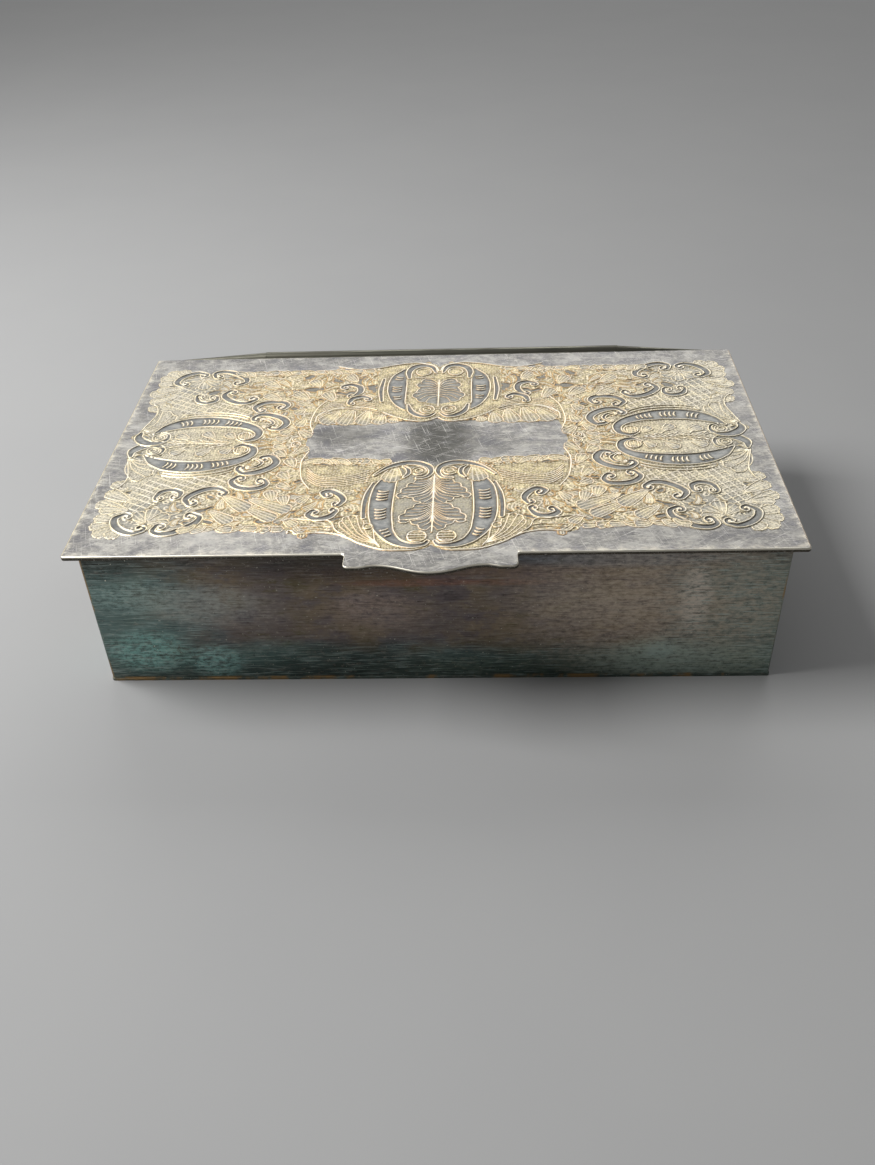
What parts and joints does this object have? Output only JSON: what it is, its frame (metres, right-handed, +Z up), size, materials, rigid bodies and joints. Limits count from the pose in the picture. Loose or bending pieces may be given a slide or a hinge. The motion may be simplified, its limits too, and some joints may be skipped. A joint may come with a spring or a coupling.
{
  "type": "hinged trinket box",
  "caption": "Low rectangular plated-brass trinket box with a hinged, overhanging ornamented lid, a scalloped thumb lip and a wood-lined divided inside.",
  "frame": {"origin": "centre of the underside of the bottom plate, on the surface the box stands on", "axes": "+X along the box's length, to the right as seen from the front; -Y towards the front, where the lip is; +Z up"},
  "size_m": [0.178, 0.115, 0.0427],
  "materials": {
    "tarnished_plate": "dark tarnished silver plate over brass",
    "engraved_plate": "stamped and engraved silver plate, worn to brass on the raised lines",
    "bare_brass": "dull brass",
    "steel": "drawn wire",
    "cedar": "planed and waxed cedar"
  },
  "bodies": {
    "box": {"front_wall": "tarnished_plate", "back_wall": "tarnished_plate", "left_wall": "tarnished_plate", "right_wall": "tarnished_plate", "bottom_plate": "tarnished_plate", "lining_floor": "cedar", "lining_front": "cedar", "lining_back": "cedar", "lining_left": "cedar", "lining_right": "cedar", "divider": "cedar", "hinge_bearer_body": "tarnished_plate", "hinge_knuckles_body": "bare_brass", "hinge_pin": "steel"},
    "lid": {"lid_plate": "engraved_plate", "lid_rim_front": "bare_brass", "lid_rim_back": "bare_brass", "lid_rim_left": "bare_brass", "lid_rim_right": "bare_brass", "lid_liner": "cedar", "hinge_bearer_lid": "engraved_plate", "hinge_knuckles_lid": "bare_brass"}
  },
  "joints": [
    {"name": "lid_hinge", "type": "hinge", "parent": "box", "child": "lid", "pos_m": [0, 0.05305, 0.04075], "axis": [-1, 0, 0], "range_deg": [0, 98]}
  ]
}
